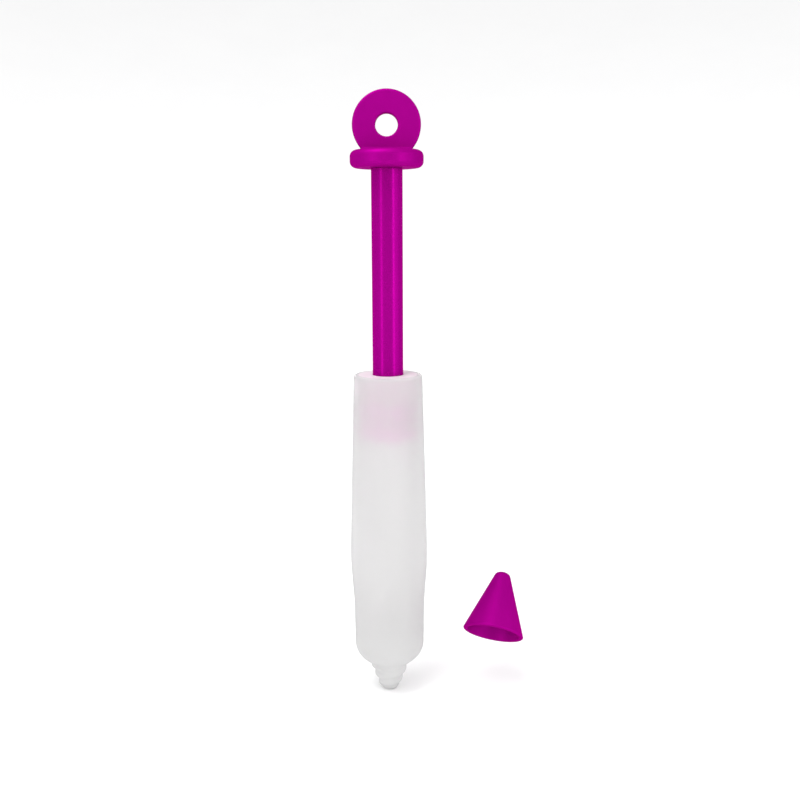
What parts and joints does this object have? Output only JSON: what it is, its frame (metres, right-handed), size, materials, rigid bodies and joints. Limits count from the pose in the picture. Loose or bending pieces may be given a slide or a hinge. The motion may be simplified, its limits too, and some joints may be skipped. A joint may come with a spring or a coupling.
{
  "type": "decorating pen",
  "caption": "Hand-held pen that pushes icing through a screw-ridged nozzle: soft barrel, ring-pull plunger with a sealed piston, and a cone cap.",
  "frame": {"origin": "centre of the nozzle's orifice, at the tip", "axes": "+Z along the pen from the nozzle to the finger ring, +X towards the cap, the ring's hole along Y"},
  "size_m": [0.0589, 0.0274, 0.2],
  "materials": {
    "frosted_silicone": "frosted translucent white silicone",
    "frosted_plug": "frosted translucent white plastic",
    "gloss_magenta": "glossy moulded plastic",
    "satin_magenta": "satin moulded plastic",
    "soft_magenta": "soft seal rubber"
  },
  "bodies": {
    "barrel": {"barrel": "frosted_silicone", "end_plug": "frosted_plug"},
    "piston": {"piston_spool": "satin_magenta", "lower_seal_ring": "soft_magenta", "upper_seal_ring": "soft_magenta"},
    "plunger": {"plunger_rod": "gloss_magenta", "ring_handle": "satin_magenta"},
    "cap": {"cone_cap": "satin_magenta"}
  },
  "joints": [
    {"name": "plunger_slide", "type": "slide", "parent": "barrel", "child": "piston", "axis": [0, 0, -1], "range_m": [0, 0.0655]},
    {"name": "plunger_spin", "type": "hinge", "parent": "piston", "child": "plunger", "pos_m": [0, 0, 0.0949], "axis": [0, 0, 1], "continuous": true},
    {"name": "cap_slide_off", "type": "slide", "parent": "barrel", "child": "cap", "axis": [1, 0, 0], "range_m": [0, 0.05]}
  ]
}
